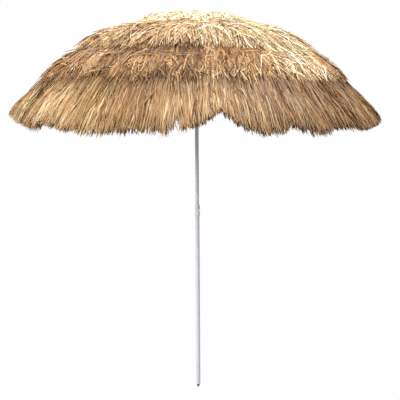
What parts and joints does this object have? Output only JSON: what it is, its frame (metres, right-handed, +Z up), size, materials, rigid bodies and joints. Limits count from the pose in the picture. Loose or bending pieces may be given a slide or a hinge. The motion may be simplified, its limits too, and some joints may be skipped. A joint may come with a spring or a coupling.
{
  "type": "beach umbrella",
  "caption": "Open beach umbrella with a layered raffia thatch canopy on sprung ribs, a sliding runner, and a white two-piece pole with a winged clamp and a ground spike.",
  "frame": {"origin": "centre of the lower tube's foot, where its round wall ends and the ground spike's cone begins", "axes": "+Z up along the pole; +X over arm 1; arms every 45 degrees anticlockwise from above; the thumbscrew faces -Y"},
  "size_m": [1.908, 1.908, 1.915],
  "materials": {
    "powder_coated_steel": "satin",
    "white_plastic": "satin",
    "grey_plastic": "matte",
    "dark_plastic": "matte",
    "brass": "satin",
    "zinc_steel": "satin",
    "raffia": "matte"
  },
  "bodies": {
    "lower_pole": {"lower_tube": "powder_coated_steel", "ground_spike": "dark_plastic", "clamp_collar": "white_plastic", "clamp_nut": "brass"},
    "thumbscrew": {"thumbscrew": "white_plastic"},
    "pole_bush": {"pole_bush": "grey_plastic"},
    "upper_pole": {"upper_tube": "powder_coated_steel", "crown_hub": "white_plastic", "crown_pins": "zinc_steel", "crown_plug": "grey_plastic", "crown_cap": "white_plastic", "cap_screw": "zinc_steel", "crown_tuft": "raffia"},
    "runner": {"runner": "white_plastic", "runner_pins": "zinc_steel"},
    "catch": {"catch_spring": "zinc_steel"},
    "arm_1": {"rib_1": "zinc_steel", "thatch_inner_1": "raffia"},
    "arm_1_outer": {"thatch_outer_1": "raffia"},
    "hem_1": {"hem_fringe_1": "raffia"},
    "stretcher_1": {"stretcher_1": "zinc_steel"},
    "arm_2": {"rib_2": "zinc_steel", "thatch_inner_2": "raffia"},
    "arm_2_outer": {"thatch_outer_2": "raffia"},
    "hem_2": {"hem_fringe_2": "raffia"},
    "stretcher_2": {"stretcher_2": "zinc_steel"},
    "arm_3": {"rib_3": "zinc_steel", "thatch_inner_3": "raffia"},
    "arm_3_outer": {"thatch_outer_3": "raffia"},
    "hem_3": {"hem_fringe_3": "raffia"},
    "stretcher_3": {"stretcher_3": "zinc_steel"},
    "arm_4": {"rib_4": "zinc_steel", "thatch_inner_4": "raffia"},
    "arm_4_outer": {"thatch_outer_4": "raffia"},
    "hem_4": {"hem_fringe_4": "raffia"},
    "stretcher_4": {"stretcher_4": "zinc_steel"},
    "arm_5": {"rib_5": "zinc_steel", "thatch_inner_5": "raffia"},
    "arm_5_outer": {"thatch_outer_5": "raffia"},
    "hem_5": {"hem_fringe_5": "raffia"},
    "stretcher_5": {"stretcher_5": "zinc_steel"},
    "arm_6": {"rib_6": "zinc_steel", "thatch_inner_6": "raffia"},
    "arm_6_outer": {"thatch_outer_6": "raffia"},
    "hem_6": {"hem_fringe_6": "raffia"},
    "stretcher_6": {"stretcher_6": "zinc_steel"},
    "arm_7": {"rib_7": "zinc_steel", "thatch_inner_7": "raffia"},
    "arm_7_outer": {"thatch_outer_7": "raffia"},
    "hem_7": {"hem_fringe_7": "raffia"},
    "stretcher_7": {"stretcher_7": "zinc_steel"},
    "arm_8": {"rib_8": "zinc_steel", "thatch_inner_8": "raffia"},
    "arm_8_outer": {"thatch_outer_8": "raffia"},
    "hem_8": {"hem_fringe_8": "raffia"},
    "stretcher_8": {"stretcher_8": "zinc_steel"}
  },
  "joints": [
    {"name": "thumbscrew_turn", "type": "hinge", "parent": "lower_pole", "child": "thumbscrew", "pos_m": [0, -0.03, 0.904], "axis": [0, -1, 0], "range_deg": [0, 450]},
    {"name": "height_slide", "type": "slide", "parent": "lower_pole", "child": "pole_bush", "axis": [0, 0, 1], "range_m": [-0.17, 0.1]},
    {"name": "swivel", "type": "hinge", "parent": "pole_bush", "child": "upper_pole", "pos_m": [0, 0, 0.73], "axis": [0, 0, 1], "continuous": true},
    {"name": "runner_slide", "type": "slide", "parent": "upper_pole", "child": "runner", "axis": [0, 0, -1], "range_m": [0, 0.50489], "deforming": ["catch_spring"]},
    {"name": "catch_press", "type": "slide", "parent": "upper_pole", "child": "catch", "axis": [0, 1, 0], "range_m": [0, 0.004], "stiffness_N_per_m": 900},
    {"name": "rib_fold_1", "type": "hinge", "parent": "upper_pole", "child": "arm_1", "pos_m": [0.022, 0, 1.86], "axis": [0, 1, 0], "range_deg": [0, 77.8], "deforming": ["thatch_inner_1"]},
    {"name": "rib_flex_1", "type": "hinge", "parent": "arm_1", "child": "arm_1_outer", "pos_m": [0.35956, 0, 1.82022], "axis": [0, 1, 0], "range_deg": [-29.02, 0], "deforming": ["rib_1", "thatch_outer_1"]},
    {"name": "hem_hang_1", "type": "hinge", "parent": "arm_1_outer", "child": "hem_1", "pos_m": [0.80517, 0, 1.49974], "axis": [0, 1, 0], "range_deg": [-20.02, 0], "deforming": ["hem_fringe_1"]},
    {"name": "stretcher_fold_1", "type": "hinge", "parent": "runner", "child": "stretcher_1", "pos_m": [0.024, 0, 1.65281], "axis": [0, 1, 0], "range_deg": [-58.83, 0]},
    {"name": "rib_fold_2", "type": "hinge", "parent": "upper_pole", "child": "arm_2", "pos_m": [0.01556, 0.01556, 1.86], "axis": [-0.7071, 0.7071, 0], "range_deg": [0, 77.8], "deforming": ["thatch_inner_2"]},
    {"name": "rib_flex_2", "type": "hinge", "parent": "arm_2", "child": "arm_2_outer", "pos_m": [0.25425, 0.25425, 1.82022], "axis": [-0.7071, 0.7071, 0], "range_deg": [-29.02, 0], "deforming": ["rib_2", "thatch_outer_2"]},
    {"name": "hem_hang_2", "type": "hinge", "parent": "arm_2_outer", "child": "hem_2", "pos_m": [0.56934, 0.56934, 1.49974], "axis": [-0.7071, 0.7071, 0], "range_deg": [-20.02, 0], "deforming": ["hem_fringe_2"]},
    {"name": "stretcher_fold_2", "type": "hinge", "parent": "runner", "child": "stretcher_2", "pos_m": [0.01697, 0.01697, 1.65281], "axis": [-0.7071, 0.7071, 0], "range_deg": [-58.83, 0]},
    {"name": "rib_fold_3", "type": "hinge", "parent": "upper_pole", "child": "arm_3", "pos_m": [0, 0.022, 1.86], "axis": [-1, 0, 0], "range_deg": [0, 77.8], "deforming": ["thatch_inner_3"]},
    {"name": "rib_flex_3", "type": "hinge", "parent": "arm_3", "child": "arm_3_outer", "pos_m": [0, 0.35956, 1.82022], "axis": [-1, 0, 0], "range_deg": [-29.02, 0], "deforming": ["rib_3", "thatch_outer_3"]},
    {"name": "hem_hang_3", "type": "hinge", "parent": "arm_3_outer", "child": "hem_3", "pos_m": [0, 0.80517, 1.49974], "axis": [-1, 0, 0], "range_deg": [-20.02, 0], "deforming": ["hem_fringe_3"]},
    {"name": "stretcher_fold_3", "type": "hinge", "parent": "runner", "child": "stretcher_3", "pos_m": [0, 0.024, 1.65281], "axis": [-1, 0, 0], "range_deg": [-58.83, 0]},
    {"name": "rib_fold_4", "type": "hinge", "parent": "upper_pole", "child": "arm_4", "pos_m": [-0.01556, 0.01556, 1.86], "axis": [-0.7071, -0.7071, 0], "range_deg": [0, 77.8], "deforming": ["thatch_inner_4"]},
    {"name": "rib_flex_4", "type": "hinge", "parent": "arm_4", "child": "arm_4_outer", "pos_m": [-0.25425, 0.25425, 1.82022], "axis": [-0.7071, -0.7071, 0], "range_deg": [-29.02, 0], "deforming": ["rib_4", "thatch_outer_4"]},
    {"name": "hem_hang_4", "type": "hinge", "parent": "arm_4_outer", "child": "hem_4", "pos_m": [-0.56934, 0.56934, 1.49974], "axis": [-0.7071, -0.7071, 0], "range_deg": [-20.02, 0], "deforming": ["hem_fringe_4"]},
    {"name": "stretcher_fold_4", "type": "hinge", "parent": "runner", "child": "stretcher_4", "pos_m": [-0.01697, 0.01697, 1.65281], "axis": [-0.7071, -0.7071, 0], "range_deg": [-58.83, 0]},
    {"name": "rib_fold_5", "type": "hinge", "parent": "upper_pole", "child": "arm_5", "pos_m": [-0.022, 0, 1.86], "axis": [0, -1, 0], "range_deg": [0, 77.8], "deforming": ["thatch_inner_5"]},
    {"name": "rib_flex_5", "type": "hinge", "parent": "arm_5", "child": "arm_5_outer", "pos_m": [-0.35956, 0, 1.82022], "axis": [0, -1, 0], "range_deg": [-29.02, 0], "deforming": ["rib_5", "thatch_outer_5"]},
    {"name": "hem_hang_5", "type": "hinge", "parent": "arm_5_outer", "child": "hem_5", "pos_m": [-0.80517, 0, 1.49974], "axis": [0, -1, 0], "range_deg": [-20.02, 0], "deforming": ["hem_fringe_5"]},
    {"name": "stretcher_fold_5", "type": "hinge", "parent": "runner", "child": "stretcher_5", "pos_m": [-0.024, 0, 1.65281], "axis": [0, -1, 0], "range_deg": [-58.83, 0]},
    {"name": "rib_fold_6", "type": "hinge", "parent": "upper_pole", "child": "arm_6", "pos_m": [-0.01556, -0.01556, 1.86], "axis": [0.7071, -0.7071, 0], "range_deg": [0, 77.8], "deforming": ["thatch_inner_6"]},
    {"name": "rib_flex_6", "type": "hinge", "parent": "arm_6", "child": "arm_6_outer", "pos_m": [-0.25425, -0.25425, 1.82022], "axis": [0.7071, -0.7071, 0], "range_deg": [-29.02, 0], "deforming": ["rib_6", "thatch_outer_6"]},
    {"name": "hem_hang_6", "type": "hinge", "parent": "arm_6_outer", "child": "hem_6", "pos_m": [-0.56934, -0.56934, 1.49974], "axis": [0.7071, -0.7071, 0], "range_deg": [-20.02, 0], "deforming": ["hem_fringe_6"]},
    {"name": "stretcher_fold_6", "type": "hinge", "parent": "runner", "child": "stretcher_6", "pos_m": [-0.01697, -0.01697, 1.65281], "axis": [0.7071, -0.7071, 0], "range_deg": [-58.83, 0]},
    {"name": "rib_fold_7", "type": "hinge", "parent": "upper_pole", "child": "arm_7", "pos_m": [0, -0.022, 1.86], "axis": [1, 0, 0], "range_deg": [0, 77.8], "deforming": ["thatch_inner_7"]},
    {"name": "rib_flex_7", "type": "hinge", "parent": "arm_7", "child": "arm_7_outer", "pos_m": [0, -0.35956, 1.82022], "axis": [1, 0, 0], "range_deg": [-29.02, 0], "deforming": ["rib_7", "thatch_outer_7"]},
    {"name": "hem_hang_7", "type": "hinge", "parent": "arm_7_outer", "child": "hem_7", "pos_m": [0, -0.80517, 1.49974], "axis": [1, 0, 0], "range_deg": [-20.02, 0], "deforming": ["hem_fringe_7"]},
    {"name": "stretcher_fold_7", "type": "hinge", "parent": "runner", "child": "stretcher_7", "pos_m": [0, -0.024, 1.65281], "axis": [1, 0, 0], "range_deg": [-58.83, 0]},
    {"name": "rib_fold_8", "type": "hinge", "parent": "upper_pole", "child": "arm_8", "pos_m": [0.01556, -0.01556, 1.86], "axis": [0.7071, 0.7071, 0], "range_deg": [0, 77.8], "deforming": ["thatch_inner_8"]},
    {"name": "rib_flex_8", "type": "hinge", "parent": "arm_8", "child": "arm_8_outer", "pos_m": [0.25425, -0.25425, 1.82022], "axis": [0.7071, 0.7071, 0], "range_deg": [-29.02, 0], "deforming": ["rib_8", "thatch_outer_8"]},
    {"name": "hem_hang_8", "type": "hinge", "parent": "arm_8_outer", "child": "hem_8", "pos_m": [0.56934, -0.56934, 1.49974], "axis": [0.7071, 0.7071, 0], "range_deg": [-20.02, 0], "deforming": ["hem_fringe_8"]},
    {"name": "stretcher_fold_8", "type": "hinge", "parent": "runner", "child": "stretcher_8", "pos_m": [0.01697, -0.01697, 1.65281], "axis": [0.7071, 0.7071, 0], "range_deg": [-58.83, 0]}
  ],
  "couplings": [
    {"joint": "rib_fold_1", "follows": "runner_slide", "rad_per_m": 2.6887},
    {"joint": "rib_flex_1", "follows": "runner_slide", "rad_per_m": -1.0026},
    {"joint": "hem_hang_1", "follows": "runner_slide", "rad_per_m": -0.69137},
    {"joint": "stretcher_fold_1", "follows": "runner_slide", "rad_per_m": -2.0329},
    {"joint": "rib_fold_2", "follows": "runner_slide", "rad_per_m": 2.6887},
    {"joint": "rib_flex_2", "follows": "runner_slide", "rad_per_m": -1.0026},
    {"joint": "hem_hang_2", "follows": "runner_slide", "rad_per_m": -0.69137},
    {"joint": "stretcher_fold_2", "follows": "runner_slide", "rad_per_m": -2.0329},
    {"joint": "rib_fold_3", "follows": "runner_slide", "rad_per_m": 2.6887},
    {"joint": "rib_flex_3", "follows": "runner_slide", "rad_per_m": -1.0026},
    {"joint": "hem_hang_3", "follows": "runner_slide", "rad_per_m": -0.69137},
    {"joint": "stretcher_fold_3", "follows": "runner_slide", "rad_per_m": -2.0329},
    {"joint": "rib_fold_4", "follows": "runner_slide", "rad_per_m": 2.6887},
    {"joint": "rib_flex_4", "follows": "runner_slide", "rad_per_m": -1.0026},
    {"joint": "hem_hang_4", "follows": "runner_slide", "rad_per_m": -0.69137},
    {"joint": "stretcher_fold_4", "follows": "runner_slide", "rad_per_m": -2.0329},
    {"joint": "rib_fold_5", "follows": "runner_slide", "rad_per_m": 2.6887},
    {"joint": "rib_flex_5", "follows": "runner_slide", "rad_per_m": -1.0026},
    {"joint": "hem_hang_5", "follows": "runner_slide", "rad_per_m": -0.69137},
    {"joint": "stretcher_fold_5", "follows": "runner_slide", "rad_per_m": -2.0329},
    {"joint": "rib_fold_6", "follows": "runner_slide", "rad_per_m": 2.6887},
    {"joint": "rib_flex_6", "follows": "runner_slide", "rad_per_m": -1.0026},
    {"joint": "hem_hang_6", "follows": "runner_slide", "rad_per_m": -0.69137},
    {"joint": "stretcher_fold_6", "follows": "runner_slide", "rad_per_m": -2.0329},
    {"joint": "rib_fold_7", "follows": "runner_slide", "rad_per_m": 2.6887},
    {"joint": "rib_flex_7", "follows": "runner_slide", "rad_per_m": -1.0026},
    {"joint": "hem_hang_7", "follows": "runner_slide", "rad_per_m": -0.69137},
    {"joint": "stretcher_fold_7", "follows": "runner_slide", "rad_per_m": -2.0329},
    {"joint": "rib_fold_8", "follows": "runner_slide", "rad_per_m": 2.6887},
    {"joint": "rib_flex_8", "follows": "runner_slide", "rad_per_m": -1.0026},
    {"joint": "hem_hang_8", "follows": "runner_slide", "rad_per_m": -0.69137},
    {"joint": "stretcher_fold_8", "follows": "runner_slide", "rad_per_m": -2.0329}
  ]
}
